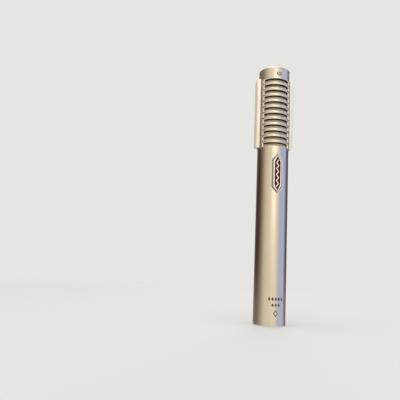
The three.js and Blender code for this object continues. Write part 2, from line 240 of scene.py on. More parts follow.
def true_round(o, radii, tol=0.02, angle=32):
    """Smooth shading, with exact normals on faces that lie on a vertical cylinder of one of the radii (mm)."""
    smooth(o, angle)
    me = o.data
    n = len(me.loops)
    normals = np.zeros(n * 3, np.float32)
    me.corner_normals.foreach_get("vector", normals)
    normals = normals.reshape(-1, 3)
    co = np.zeros(len(me.vertices) * 3, np.float32)
    me.vertices.foreach_get("co", co)
    co = co.reshape(-1, 3) / MM
    rad = np.hypot(co[:, 0], co[:, 1])
    vi = np.zeros(n, np.int32)
    me.loops.foreach_get("vertex_index", vi)
    for p in me.polygons:
        if abs(p.normal.z) > 0.05:
            continue
        ls = np.arange(p.loop_start, p.loop_start + p.loop_total)
        rr = rad[vi[ls]]
        for r in radii:
            if np.abs(rr - r).max() < tol:
                c = co[vi[ls]]
                out = np.c_[c[:, 0] / rr, c[:, 1] / rr, np.zeros(len(ls))]
                m = np.array(p.center)[:2]
                d = m @ np.array(p.normal)[:2] / (np.linalg.norm(m) + 1e-12)
                if abs(d) > 0.99:
                    normals[ls] = out * (1 if d > 0 else -1)
                break
    me.normals_split_custom_set([tuple(map(float, v)) for v in normals])
    return o


def place(o, material, body="housing", stands_for=()):
    o.data.materials.clear()
    for m in (material if isinstance(material, (list, tuple)) else [material]):
        o.data.materials.append(m)
    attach(o, body)
    if stands_for:
        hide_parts(*stands_for)
    return o


# ------------------------------------------------------------------ materials
def node(nt, kind, at=(0, 0), **values):
    n = nt.nodes.new(kind)
    n.location = at
    for k, v in values.items():
        if hasattr(n, k):
            setattr(n, k, v)
        else:
            n.inputs[k.replace("_", " ")].default_value = v
    return n


def new_material(name):
    m = bpy.data.materials.new(name)
    m.use_nodes = True
    nt = m.node_tree
    nt.nodes.clear()
    out = node(nt, "ShaderNodeOutputMaterial", (600, 0))
    bsdf = node(nt, "ShaderNodeBsdfPrincipled", (300, 0))
    nt.links.new(bsdf.outputs[0], out.inputs[0])
    return m, nt, bsdf


def ramp(nt, source, stops, interpolation="LINEAR"):
    r = nt.nodes.new("ShaderNodeValToRGB")
    r.color_ramp.interpolation = interpolation
    e = r.color_ramp.elements
    while len(e) > 1:
        e.remove(e[-1])
    e[0].position, e[0].color = stops[0][0], (*stops[0][1], 1)
    for p, c in stops[1:]:
        k = e.new(p)
        k.color = (*c, 1)
    nt.links.new(source, r.inputs[0])
    return r.outputs[0]


def coords(nt, scale=(1, 1, 1)):
    """Row-frame coordinates in millimetres, scaled."""
    tc = nt.nodes.new("ShaderNodeTexCoord")
    mp = nt.nodes.new("ShaderNodeMapping")
    mp.inputs["Scale"].default_value = [s / MM for s in scale]
    nt.links.new(tc.outputs["Object"], mp.inputs["Vector"])
    return mp.outputs[0]


def noise(nt, vec, scale, detail=3.0, rough=0.55, distortion=0.0):
    n = nt.nodes.new("ShaderNodeTexNoise")
    n.inputs["Scale"].default_value = scale
    n.inputs["Detail"].default_value = detail
    n.inputs["Roughness"].default_value = rough
    n.inputs["Distortion"].default_value = distortion
    nt.links.new(vec, n.inputs["Vector"])
    return n.outputs["Fac"]


def maths(nt, op, a, b=None, c=None, clamp=False):
    n = nt.nodes.new("ShaderNodeMath")
    n.operation = op
    n.use_clamp = clamp
    for i, v in enumerate((a, b, c)):
        if v is None:
            continue
        if isinstance(v, (int, float)):
            n.inputs[i].default_value = v
        else:
            nt.links.new(v, n.inputs[i])
    return n.outputs[0]


def mix_colour(nt, fac, a, b, blend="MIX"):
    n = nt.nodes.new("ShaderNodeMix")
    n.data_type = "RGBA"
    n.blend_type = blend
    if isinstance(fac, (int, float)):
        n.inputs[0].default_value = fac
    else:
        nt.links.new(fac, n.inputs[0])
    for i, v in ((6, a), (7, b)):
        if isinstance(v, tuple):
            n.inputs[i].default_value = (*v, 1)
        else:
            nt.links.new(v, n.inputs[i])
    return n.outputs[2]


def bump(nt, height, strength, distance_mm, bsdf, previous=None):
    b = nt.nodes.new("ShaderNodeBump")
    b.inputs["Strength"].default_value = strength
    b.inputs["Distance"].default_value = distance_mm * MM
    nt.links.new(height, b.inputs["Height"])
    if previous is not None:
        nt.links.new(previous, b.inputs["Normal"])
    nt.links.new(b.outputs[0], bsdf.inputs["Normal"])
    return b.outputs[0]


def metal(name, colour, dark, rough, rough_span=0.08, grain=1.0, grain_scale=(2.2, 2.2, 2.2), grain_bump=0.25, smudge=0.5, coat=0.0):
    """Plated or blasted metal: fine grain in the surface, slow tone and gloss variation, light handling marks."""
    m, nt, b = new_material(name)
    b.inputs["Metallic"].default_value = 1.0
    if coat:
        b.inputs["Coat Weight"].default_value = coat
        b.inputs["Coat Roughness"].default_value = 0.15
    v = coords(nt)
    vg = coords(nt, grain_scale)
    slow = noise(nt, v, 0.09, 4.0, 0.6)
    fine = noise(nt, vg, 2.0, 2.0, 0.6)
    col = ramp(nt, slow, [(0.3, dark), (0.7, colour)])
    col = mix_colour(nt, 0.12, col, ramp(nt, fine, [(0.3, tuple(c * 0.7 for c in colour)), (0.7, tuple(min(1, c * 1.15) for c in colour))]))
    nt.links.new(col, b.inputs["Base Color"])
    marks = noise(nt, v, 0.22, 6.0, 0.7, 0.6)
    r = maths(nt, "MULTIPLY_ADD", marks, rough_span * smudge * 2, rough - rough_span * smudge)
    r = maths(nt, "MULTIPLY_ADD", fine, rough_span * 0.6, r, clamp=True)
    nt.links.new(r, b.inputs["Roughness"])
    bump(nt, fine, grain_bump, 0.02 * grain, b)
    return m


def plastic(name, colour, light, rough, grain_scale=3.0, strength=0.3, distance=0.03, spec=0.5):
    m, nt, b = new_material(name)
    v = coords(nt)
    slow = noise(nt, v, 0.25, 4.0)
    fine = noise(nt, v, grain_scale, 3.0, 0.6)
    nt.links.new(ramp(nt, slow, [(0.3, colour), (0.75, light)]), b.inputs["Base Color"])
    nt.links.new(maths(nt, "MULTIPLY_ADD", fine, 0.12, rough - 0.06, clamp=True), b.inputs["Roughness"])
    b.inputs["Specular IOR Level"].default_value = spec
    bump(nt, fine, strength, distance, b)
    return m


satin = metal("satin_nickel", (0.80, 0.73, 0.615), (0.76, 0.69, 0.575), 0.27, 0.06, grain_scale=(3, 3, 3), grain_bump=0.35)
ear_nickel = metal("housing_nickel", (1.0, 0.96, 0.835), (0.97, 0.925, 0.80), 0.42, 0.07, grain_scale=(3, 3, 3), grain_bump=0.35)
ear_nickel.node_tree.nodes["Principled BSDF"].inputs["Metallic"].default_value = 0.35
screw_metal = metal("screw_nickel", (0.62, 0.57, 0.49), (0.5, 0.46, 0.4), 0.28, 0.1, grain_scale=(6, 6, 1.5), grain_bump=0.3)
wire_metal = metal("screen_wire", (0.98, 0.91, 0.71), (0.90, 0.82, 0.62), 0.42, 0.1, grain_scale=(5, 5, 5), grain_bump=0.3)
wire_metal.node_tree.nodes["Principled BSDF"].inputs["Metallic"].default_value = 0.55
bezel_metal = metal("badge_silver", (1.0, 0.965, 0.935), (0.96, 0.925, 0.895), 0.28, 0.08, grain_scale=(4, 4, 4), grain_bump=0.2)
bezel_metal.node_tree.nodes["Principled BSDF"].inputs["Metallic"].default_value = 0.55
shell_metal = metal("connector_nickel", (0.66, 0.62, 0.55), (0.58, 0.54, 0.47), 0.3, 0.08, grain_scale=(1.2, 1.2, 6), grain_bump=0.3)
gold = metal("contact_gold", (0.86, 0.64, 0.28), (0.8, 0.57, 0.22), 0.2, 0.06, grain_scale=(2, 2, 6), grain_bump=0.15)
brass = metal("brass", (0.75, 0.57, 0.28), (0.64, 0.46, 0.2), 0.3, 0.1, grain_scale=(2, 6, 6), grain_bump=0.3)
iron = metal("dark_iron", (0.2, 0.195, 0.19), (0.13, 0.125, 0.12), 0.45, 0.12, grain_scale=(2, 2, 2), grain_bump=0.5)
magnet_metal = metal("magnet_plate", (0.6, 0.62, 0.66), (0.52, 0.54, 0.58), 0.24, 0.08, grain_scale=(3, 3, 3), grain_bump=0.15)
can_metal = metal("shield_can", (0.58, 0.57, 0.54), (0.5, 0.49, 0.46), 0.3, 0.1, grain_scale=(1, 1, 8), grain_bump=0.3)
foil = metal("ribbon_foil", (0.9, 0.9, 0.91), (0.86, 0.86, 0.88), 0.25, 0.1, grain_scale=(5, 5, 5), grain_bump=0.1)
black = plastic("black_insulator", (0.012, 0.012, 0.013), (0.03, 0.03, 0.032), 0.5)
button_black = plastic("button_black", (0.05, 0.05, 0.053), (0.08, 0.08, 0.084), 0.42, 5.0, 0.4, 0.02)
rubber = plastic("mount_rubber", (0.015, 0.015, 0.015), (0.035, 0.034, 0.033), 0.82, 2.2, 0.6, 0.06, 0.3)
film_red = plastic("capacitor_red", (0.33, 0.05, 0.03), (0.42, 0.08, 0.045), 0.32, 2.0, 0.2, 0.03)
sleeve_blue = plastic("capacitor_sleeve", (0.016, 0.03, 0.09), (0.026, 0.045, 0.12), 0.28, 2.0, 0.15, 0.02)
lead_white_m = plastic("lead_white", (0.66, 0.64, 0.58), (0.76, 0.74, 0.69), 0.45, 4.0, 0.2, 0.02)
lead_red_m = plastic("lead_red", (0.32, 0.025, 0.015), (0.42, 0.04, 0.025), 0.42, 4.0, 0.2, 0.02)


def joint_shade(m, r0, r1):
    """Painted shade in the narrow joint between the tube and the piece that stands out of it: the base colour goes dark
    where the tube edge shades the piece.
    """
    nt = m.node_tree
    b = nt.nodes["Principled BSDF"]
    q = nt.nodes.new("ShaderNodeSeparateXYZ")
    nt.links.new(coords(nt), q.inputs[0])
    x, y, z = q.outputs
    rad = maths(nt, "SQRT", maths(nt, "ADD", maths(nt, "MULTIPLY", x, x), maths(nt, "MULTIPLY", y, y)))
    k = nt.nodes.new("ShaderNodeMapRange")
    k.interpolation_type = "SMOOTHSTEP"
    k.inputs["From Min"].default_value = r0
    k.inputs["From Max"].default_value = r1
    nt.links.new(rad, k.inputs["Value"])
    base = b.inputs["Base Color"].links[0].from_socket
    nt.links.new(mix_colour(nt, k.outputs[0], (0.035, 0.028, 0.02), base), b.inputs["Base Color"])


# painted shade on the magnet housings along their joint with the tube
joint_shade(ear_nickel, 12.85, 13.2)


def enamel_material():
    """Dark transparent red enamel over metal: a deep tone that varies slowly, small pits, a clear top."""
    m, nt, b = new_material("badge_enamel_red")
    v = coords(nt)
    slow = noise(nt, v, 0.35, 4.0)
    fine = noise(nt, v, 2.6, 3.0, 0.6)
    nt.links.new(ramp(nt, slow, [(0.3, (0.055, 0.001, 0.002)), (0.7, (0.105, 0.002, 0.0035))]), b.inputs["Base Color"])
    nt.links.new(maths(nt, "MULTIPLY_ADD", fine, 0.1, 0.2, clamp=True), b.inputs["Roughness"])
    b.inputs["Coat Weight"].default_value = 0.08
    b.inputs["Specular IOR Level"].default_value = 0.15
    b.inputs["Coat Roughness"].default_value = 0.08
    bump(nt, fine, 0.25, 0.03, b)
    return m


def board_material():
    """Green solder mask over a woven glass board with copper tracks showing through."""
    m, nt, b = new_material("circuit_board_green")
    v = coords(nt)
    w1 = nt.nodes.new("ShaderNodeTexBrick")
    w1.inputs["Scale"].default_value = 0.32
    w1.inputs["Mortar Size"].default_value = 0.05
    w1.inputs["Color1"].default_value = (0.012, 0.085, 0.03, 1)
    w1.inputs["Color2"].default_value = (0.018, 0.11, 0.04, 1)
    w1.inputs["Mortar"].default_value = (0.05, 0.24, 0.1, 1)
    sw = nt.nodes.new("ShaderNodeSeparateXYZ")
    nt.links.new(v, sw.inputs[0])
    cb = nt.nodes.new("ShaderNodeCombineXYZ")
    nt.links.new(sw.outputs[0], cb.inputs[0])
    nt.links.new(sw.outputs[2], cb.inputs[1])
    nt.links.new(cb.outputs[0], w1.inputs["Vector"])
    nt.links.new(w1.outputs[0], b.inputs["Base Color"])
    fine = noise(nt, v, 2.0, 3.0)
    nt.links.new(maths(nt, "MULTIPLY_ADD", fine, 0.15, 0.3, clamp=True), b.inputs["Roughness"])
    bump(nt, w1.outputs["Fac"], 0.3, 0.05, b)
    return m


def winding_material():
    """Enamelled copper wire laid side by side round the core."""
    m, nt, b = new_material("winding_copper")
    v = coords(nt)
    sx = nt.nodes.new("ShaderNodeSeparateXYZ")
    nt.links.new(v, sx.inputs[0])
    ang = maths(nt, "ARCTAN2", sx.outputs[1], sx.outputs[0])
    turns = maths(nt, "SINE", maths(nt, "MULTIPLY", ang, 90.0))
    turns = maths(nt, "MULTIPLY_ADD", turns, 0.5, 0.5)
    b.inputs["Metallic"].default_value = 0.85
    nt.links.new(ramp(nt, turns, [(0.1, (0.16, 0.055, 0.02)), (0.8, (0.62, 0.27, 0.1))]), b.inputs["Base Color"])
    fine = noise(nt, v, 1.5, 3.0)
    nt.links.new(maths(nt, "MULTIPLY_ADD", fine, 0.15, 0.25, clamp=True), b.inputs["Roughness"])
    bump(nt, turns, 0.8, 0.12, b)
    return m


enamel = enamel_material()
board_green = board_material()
winding = winding_material()


def body_material():
    """The satin plating with a plain printed ornament low on the front: two rows of small lozenges over one larger
    lozenge drawn as an outline."""
    m = satin.copy()
    m.name = "satin_nickel_body"
    nt = m.node_tree
    b = next(n for n in nt.nodes if n.type == "BSDF_PRINCIPLED")
    v = coords(nt)
    s = nt.nodes.new("ShaderNodeSeparateXYZ")
    nt.links.new(v, s.inputs[0])
    x, y, z = s.outputs
    front = maths(nt, "LESS_THAN", y, -5.0)

    arc_at = maths(nt, "MULTIPLY_ADD", maths(nt, "ARCTAN2", x, maths(nt, "MULTIPLY", y, -1.0)), R, -0.8)

    def lozenges(cz, step, count, wide, tall):
        t = maths(nt, "DIVIDE", arc_at, step)
        cell = maths(nt, "ABSOLUTE", maths(nt, "SUBTRACT", maths(nt, "FRACT", maths(nt, "ADD", t, 100.5)), 0.5))
        d = maths(nt, "ADD", maths(nt, "MULTIPLY", cell, step / wide), maths(nt, "DIVIDE", maths(nt, "ABSOLUTE", maths(nt, "SUBTRACT", z, cz)), tall))
        row = maths(nt, "LESS_THAN", maths(nt, "ABSOLUTE", arc_at), step * count / 2)
        return maths(nt, "MULTIPLY", maths(nt, "LESS_THAN", d, 1.0), row)

    def outline(cz, wide, tall, line):
        d = maths(nt, "ADD", maths(nt, "DIVIDE", maths(nt, "ABSOLUTE", arc_at), wide), maths(nt, "DIVIDE", maths(nt, "ABSOLUTE", maths(nt, "SUBTRACT", z, cz)), tall))
        return maths(nt, "LESS_THAN", maths(nt, "ABSOLUTE", maths(nt, "SUBTRACT", d, 1.0)), line)

    ink = maths(nt, "MAXIMUM", outline(9.8, 1.55, 2.1, 0.24), maths(nt, "MAXIMUM", lozenges(20.4, 2.5, 5, 0.95, 1.6), lozenges(15.9, 2.5, 3, 0.95, 1.5)))
    ink = maths(nt, "MULTIPLY", ink, front)
    soft = noise(nt, v, 3.0, 2.0)
    ink = maths(nt, "MULTIPLY", ink, maths(nt, "MULTIPLY_ADD", soft, 0.25, 0.84, clamp=True))
    # painted shade: the walls inside the windows (radius 11.9 down to 11.4 mm, above z 136) go nearly black, standing
    # in for the shade deep in the slots; the slot end walls are left out of it
    rad = maths(nt, "SQRT", maths(nt, "ADD", maths(nt, "MULTIPLY", x, x), maths(nt, "MULTIPLY", y, y)))
    depth = nt.nodes.new("ShaderNodeMapRange")
    depth.inputs["From Min"].default_value = 11.9
    depth.inputs["From Max"].default_value = 11.4
    nt.links.new(rad, depth.inputs["Value"])
    window = maths(nt, "GREATER_THAN", z, 136.0)
    inside = maths(nt, "MULTIPLY", depth.outputs[0], window)
    sideways = maths(nt, "ABSOLUTE", maths(nt, "DIVIDE", x, rad))
    inside = maths(nt, "MULTIPLY", inside, maths(nt, "LESS_THAN", sideways, math.sin(math.radians(HALF_ANGLE - 1.2))))
    base = b.inputs["Base Color"].links[0].from_socket
    base = mix_colour(nt, inside, base, (0.03, 0.026, 0.02))
    nt.links.new(mix_colour(nt, ink, base, (0.008, 0.006, 0.005)), b.inputs["Base Color"])
    nt.links.new(maths(nt, "SUBTRACT", 1.0, ink), b.inputs["Metallic"])
    rough = b.inputs["Roughness"].links[0].from_socket
    nt.links.new(maths(nt, "MULTIPLY_ADD", ink, 0.2, rough, clamp=True), b.inputs["Roughness"])
    return m


body_mat = body_material()

# ------------------------------------------------------------------ body tube
SEG = 216
RIM = 0.55
profile = (
    [(R_IN + 0.2, 0.0), (R - RIM - 0.08, 0.0), (R - RIM, 0.03), (R - 0.05, RIM - 0.03), (R, RIM + 0.06)]
    + [(R, SEAM - 0.18), (R - 0.05, SEAM - 0.05), (R - 0.18, SEAM)]
    + [(R_IN + 0.1, SEAM), (R_IN, SEAM - 0.1), (R_IN, 0.2)]
)
tube = make("body_tube_surface", *turned(profile, SEG))


def slot_cutter(centre, z_mid, half_h, half_a, radii, edge, fillet=0.5):
    """A window cutter whose opening widens in a round where it meets the outside. radii run from inside to outside."""
    n_arc = max(6, int(half_a / 2.5))
    rings = []
    r_edge = R - edge
    for r in radii:
        if r <= r_edge:
            g = 0.0
        elif r <= R:
            g = edge - math.sqrt(max(0.0, edge * edge - (r - r_edge) ** 2))
        else:
            g = edge + (r - R) * 2.0
        hh = half_h + g
        ha = half_a + math.degrees(g / R)
        f = fillet + 0.6 * g
        fa = math.degrees(f / R)
        low = []
        for i in range(5):
            t = math.radians(90 * i / 4)
            low.append((-ha + fa * (1 - math.sin(t)), -hh + f * (1 - math.cos(t))) if False else (-ha + fa * (1 - math.cos(t)), -hh + f * (1 - math.sin(t))))
        mid = [(-ha + fa + (2 * (ha - fa)) * i / n_arc, -hh) for i in range(1, n_arc)]
        right = [(-a, z) for a, z in reversed(low)]
        bottom = low + mid + right
        top = [(a, -z) for a, z in reversed(bottom)]
        rings.append([az(r, centre + a, z_mid + z) for a, z in bottom + top])
    verts = [p for ring in rings for p in ring]
    n = len(rings[0])
    faces = []
    for j in range(len(rings) - 1):
        for i in range(n):
            k = (i + 1) % n
            faces.append((j * n + i, j * n + k, (j + 1) * n + k, (j + 1) * n + i))
    half = n // 2
    for base in (0, (len(rings) - 1) * n):
        for i in range(half - 1):
            faces.append((base + i, base + i + 1, base + n - 2 - i, base + n - 1 - i))
    return verts, faces


def hexagon(z0, z1, h, p):
    return [(0, z0), (h, z0 + p), (h, z1 - p), (0, z1), (-h, z1 - p), (-h, z0 + p)]


EDGE = 0.58
radii = [9.9, R - EDGE] + [R - EDGE + EDGE * math.sin(math.radians(a)) for a in (30, 50, 65, 78, 90)] + [13.6]
tools = []
for i in range(SLOTS):
    mid = SLOT_TOP - SLOT_H / 2 - i * PITCH
    for c in (0.0, 180.0):
        tools.append(slot_cutter(c, mid, SLOT_H / 2, HALF_ANGLE, radii, EDGE))
for s in (-1, 1):
    x = sorted((s * 9.0, s * 14.0))
    tools.append(block(x[0], x[1], -EAR_HALF - 0.3, EAR_HALF + 0.3, EAR_Z0 - 0.25, EAR_Z1 + 0.25))
for a in (0, 90, 180, 270):
    d = Vector(az(1, a, 0))
    tools.append(moved(turned([(0, 0), (1.9, 0), (1.9, 3.25), (3.3, 4.65), (0, 4.65)], 40), pointing(d, d * 9.0 + Vector((0, 0, SCREW_Z)))))
for name in ("pad_switch_button", "bass_cut_switch_button"):
    lo, hi = span(name)
    zc = (lo[2] + hi[2]) / 2 + SWITCH_TRAVEL / 2
    tall = (hi[2] - lo[2]) / 2 + SWITCH_TRAVEL / 2 + 0.3
    wide = 1.25
    outline = []
    for a in range(0, 360, 15):
        q = math.radians(a)
        outline.append((0.6 * math.cos(q) + (wide - 0.6) * (1 if math.cos(q) > 0 else -1), zc + 0.6 * math.sin(q) + (tall - 0.6) * (1 if math.sin(q) >= 0 else -1)))
    inner = [(u, 9.0, v) for u, v in outline]
    edge = [(u, R - 0.28, v) for u, v in outline]
    wider = [(u * (1 + 0.55 / wide), R + 0.35, zc + (v - zc) * (1 + 0.55 / tall)) for u, v in outline]
    tools.append(loft([inner, edge, wider]))
lo, hi = span("connector_screw")
tools.append(moved(turned([(0, 0), (1.15, 0), (1.15, 3.2), (2.6, 4.65), (0, 4.65)], 32), pointing((0, 1, 0), (0, 9.0, (lo[2] + hi[2]) / 2))))
SEAT = 11.3
POCKET = (101.3, 132.8, 4.15)


def pocket_ring(grow, level):
    """Hexagon outline grown by grow mm, each edge in 10 steps; level gives y from x."""
    pts = hexagon(POCKET[0] - 1.5 * grow, POCKET[1] + 1.5 * grow, POCKET[2] + grow, 4.6)
    ring = []
    for k in range(6):
        (u0, v0), (u1, v1) = pts[k], pts[(k + 1) % 6]
        ring += [(u0 + (u1 - u0) * q / 10, v0 + (v1 - v0) * q / 10) for q in range(10)]
    return [(u, level(u), v) for u, v in ring]


tools.append(loft([
    pocket_ring(0.0, lambda u: -SEAT),
    pocket_ring(0.0, lambda u: -max(SEAT + 0.02, math.sqrt(R * R - u * u) - 0.3)),
    pocket_ring(0.36, lambda u: -(math.sqrt(R * R - u * u) + 0.03)),
    pocket_ring(0.9, lambda u: -14.0),
]))
cut(tube, tools)
true_round(tube, (R, R_IN))
# painted highlight: a paler, less metallic nickel for the slot end walls, the lower round of each ridge and the lip of
# the badge pocket, where glints fall
edge_highlight_metal = metal("edge_painted_highlight", (1.0, 0.975, 0.90), (0.97, 0.94, 0.86), 0.34, 0.06, grain_scale=(4, 4, 4), grain_bump=0.15)
edge_highlight_metal.node_tree.nodes["Principled BSDF"].inputs["Metallic"].default_value = 0.45
# painted shade: a darker nickel for the badge pocket's floor and walls and for the recesses round the cap screws
pocket_shade_metal = metal("pocket_painted_shade", (0.30, 0.275, 0.21), (0.2, 0.18, 0.135), 0.45, 0.1, grain_scale=(3, 3, 3), grain_bump=0.5)
# painted highlight: a pale, nearly non-metallic copy of the nickel for the chamfer round the bottom rim
rim_highlight_metal = metal("rim_chamfer_painted_highlight", (1.0, 0.985, 0.94), (0.97, 0.95, 0.90), 0.36, 0.06, grain_scale=(4, 4, 4), grain_bump=0.15)
rim_highlight_metal.node_tree.nodes["Principled BSDF"].inputs["Metallic"].default_value = 0.1
place(tube, (body_mat, edge_highlight_metal, pocket_shade_metal, rim_highlight_metal), stands_for=("body_tube",))
for p in tube.data.polygons:
    c = p.center / MM
    r = math.hypot(c.x, c.y)
    # badge pocket: the lip takes the painted highlight, the floor and walls the painted shade
    if c.y < -10.9 and abs(c.x) < 6.2 and 98 < c.z < 136 and r < R - 0.01:
        lip = r > R - 0.36 and -0.97 < p.normal.y < -0.25
        p.material_index = 1 if lip else 2
    elif c.z > 136 and R_IN + 0.02 < r < R - 0.01:
        a = math.degrees(math.atan2(abs(c.x), abs(c.y)))
        # slot end walls and the lower round of each ridge take the painted highlight
        if HALF_ANGLE - 1.0 < a < HALF_ANGLE + 4 and abs(p.normal.z) < 0.5:
            p.material_index = 1
        elif r > R - EDGE and -0.96 < p.normal.z < -0.2 and a < HALF_ANGLE + 4:
            p.material_index = 1
    # bottom rim chamfer: painted highlight
    elif c.z < RIM + 0.04 and r > R - RIM - 0.05:
        p.material_index = 3
    # recesses round the cap screws: painted shade
    elif r < R - 0.01 and abs(c.z - SCREW_Z) < 2.2 and min(abs(c.x), abs(c.y)) < 2.2 and r > R_IN + 0.02:
        p.material_index = 2

# ------------------------------------------------------------------ top cap
T = LENGTH
ch = 0.95
rim_z = SEAM + 0.14
cap_profile = (
    [(0.0, T)]
    + [(R - ch - 0.12, T), (R - ch, T - 0.02)]
    + [(R - 0.05, T - ch + 0.05), (R, T - ch - 0.08)]
    + [(R, rim_z + 0.12), (R - 0.12, rim_z)]
    + [(R_IN - 0.2, rim_z), (R_IN - 0.2, 197.3), (R_IN - 0.35, 197.2), (8.95, 197.2), (8.8, 197.35), (8.8, 202.2), (0.0, 202.2)]
)
cap = make("top_cap_surface", *turned(cap_profile, SEG))
tools = []
for a in (0, 90, 180, 270):
    d = Vector(az(1, a, 0))
    tools.append(moved(turned([(0, 0), (1.15, 0), (1.15, 4.4), (0, 4.4)], 32), pointing(d, d * 7.6 + Vector((0, 0, SCREW_Z)))))
for s in (-1, 1):
    x = sorted((s * 8.0, s * 13.0))
    tools.append(block(x[0], x[1], -EAR_HALF - 0.2, EAR_HALF + 0.2, 196.0, EAR_Z1 + 0.2))
cut(cap, tools)
true_round(cap, (R, R_IN - 0.2, 8.8))
cap_mat = metal("satin_nickel_cap", (0.76, 0.69, 0.58), (0.72, 0.65, 0.54), 0.30, 0.06, grain_scale=(3, 3, 3), grain_bump=0.35)
place(cap, cap_mat, stands_for=("top_cap",))


# ------------------------------------------------------------------ cap screws: shallow domed heads with a hexagon socket
def cap_screw(name, a):
    d = Vector(az(1, a, 0))
    r = 1.55
    head = [(0, 2.75), (0.6, 2.73), (1.1, 2.64), (r - 0.14, 2.46), (r, 2.3), (r, 1.7), (1.0, 1.15), (1.0, -2.0 + 1.05), (0.9, -1.05), (0, -1.05)]
    o = make(name, *turned(head, 40))
    o.data.transform(Matrix.Identity(4))
    cut(o, [prism([(0.66 * math.sin(math.radians(k)), 0.66 * math.cos(math.radians(k))) for k in range(0, 360, 60)], 1.6, 3.2)])
    turn = Matrix.Rotation(math.radians({0: 20, 90: 65, 180: 40, 270: 5}[a]), 4, "Z")
    m = pointing(d, d * 10.15 + Vector((0, 0, SCREW_Z))) @ turn
    sc = Matrix.Diagonal((MM, MM, MM, 1))
    o.data.transform(sc @ m @ sc.inverted())
    smooth(o, 28)
    return o


for nm, a in (("front", 0), ("right", 90), ("rear", 180), ("left", 270)):
    o = cap_screw("cap_screw_head_" + nm, a)
    place(o, screw_metal, stands_for=("cap_screw_" + nm,))


# ------------------------------------------------------------------ woven wire screens
def woven_screen(name, centre):
    half, z0, z1 = 63.5, 137.7, 196.8
    r_mid, amp, wr, pitch = 10.32, 0.1, 0.14, 0.76
    arc_len = 2 * math.radians(half) * r_mid
    n_up = int(arc_len / pitch)
    n_round = int((z1 - z0) / pitch)
    das = 2 * half / n_up
    dz = (z1 - z0) / n_round
    parts = []
    sides = 4

    def strand(points, normals, tangent_axis):
        rings = []
        for (p, nrm, side) in zip(points, normals, tangent_axis):
            p, nrm, side = Vector(p), Vector(nrm), Vector(side)
            rings.append([tuple(p + (nrm * math.cos(t) + side * math.sin(t)) * wr) for t in (math.pi / 4 + k * 2 * math.pi / sides for k in range(sides))])
        return loft(rings)

    # wires that run round the body
    for j in range(n_round):
        z = z0 + dz * (j + 0.5)
        pts, nr, sd = [], [], []
        for k in range(2 * n_up + 1):
            a = centre - half + das * k / 2
            ph = 0.0 if k % 2 == 0 else (1 if ((k // 2) + j) % 2 == 0 else -1)
            pts.append(az(r_mid + amp * ph, a, z))
            nr.append(az(1, a, 0))
            sd.append((0, 0, 1))
        parts.append(strand(pts, nr, sd))
    # wires that run up the body
    for k in range(n_up):
        a = centre - half + das * (k + 0.5)
        pts, nr, sd = [], [], []
        for j in range(2 * n_round + 1):
            z = z0 + dz * j / 2
            ph = 0.0 if j % 2 == 0 else (-1 if (k + (j // 2)) % 2 == 0 else 1)
            pts.append(az(r_mid + amp * ph, a, z))
            nr.append(az(1, a, 0))
            sd.append(az(1, a + 90, 0))
        parts.append(strand(pts, nr, sd))
    v, f = joined(*parts)
    me = bpy.data.meshes.new(name)
    me.from_pydata([tuple(c * MM for c in p) for p in v], [], f)
    o = link(bpy.data.objects.new(name, me))
    me.shade_smooth()
    return o


def under_ridges(nt, z_mm):
    """0 just under each ridge, 1 lower in the slot: the shade that the ridge above casts on the screen, painted in."""
    t = maths(nt, "DIVIDE", maths(nt, "SUBTRACT", SLOT_TOP, z_mm), PITCH)
    t = maths(nt, "SUBTRACT", maths(nt, "FRACT", maths(nt, "ADD", t, 10.3)), 0.3)
    m = nt.nodes.new("ShaderNodeMapRange")
    m.interpolation_type = "SMOOTHSTEP"
    m.inputs["From Min"].default_value = 0.05
    m.inputs["From Max"].default_value = 0.21
    nt.links.new(t, m.inputs["Value"])
    return m.outputs[0]


def shade_base(m, low=(0.012, 0.010, 0.007)):
    nt = m.node_tree
    b = nt.nodes["Principled BSDF"]
    q = nt.nodes.new("ShaderNodeSeparateXYZ")
    nt.links.new(coords(nt), q.inputs[0])
    base = b.inputs["Base Color"].links[0].from_socket
    nt.links.new(mix_colour(nt, under_ridges(nt, q.outputs[2]), low, base), b.inputs["Base Color"])


shade_base(wire_metal)
for nm, c in (("front", 0.0), ("rear", 180.0)):
    o = woven_screen("wire_screen_" + nm, c)
    place(o, wire_metal, stands_for=("screen_" + nm,))
    # the fine gauze that backs the coarse wires
    rings = []
    n = 48
    for r0, z in ((9.98, 137.7), (10.06, 137.7), (10.06, 196.8), (9.98, 196.8)):
        rings.append([az(r0, c - 63.5 + 127.0 * i / n, z) for i in range(n + 1)])
    v = [p for r in rings for p in r]
    k = n + 1
    f = []
    for j in range(4):
        j2 = (j + 1) % 4
        for i in range(n):
            f.append((j * k + i, j * k + i + 1, j2 * k + i + 1, j2 * k + i))
    f.append((0, k, 2 * k, 3 * k))
    f.append((3 * k + n, 2 * k + n, k + n, n))
    g = make("wire_gauze_" + nm, v, f)
    smooth(g, 30)
    gm, nt, b = new_material("screen_gauze_" + nm)
    b.inputs["Metallic"].default_value = 0.9
    vec = coords(nt)
    s = nt.nodes.new("ShaderNodeSeparateXYZ")
    nt.links.new(vec, s.inputs[0])
    ang = maths(nt, "ARCTAN2", s.outputs[1], s.outputs[0])
    u = maths(nt, "SINE", maths(nt, "MULTIPLY", ang, 180.0))
    w = maths(nt, "SINE", maths(nt, "MULTIPLY", s.outputs[2], 17.5))
    weave = maths(nt, "MULTIPLY_ADD", maths(nt, "MULTIPLY", u, w), 0.5, 0.5)
    nt.links.new(ramp(nt, weave, [(0.25, (0.26, 0.235, 0.17)), (0.75, (0.86, 0.79, 0.60))]), b.inputs["Base Color"])
    nt.links.new(maths(nt, "MULTIPLY_ADD", weave, -0.15, 0.6), b.inputs["Roughness"])
    bump(nt, weave, 0.8, 0.08, b)
    shade_base(gm)
    place(g, gm)


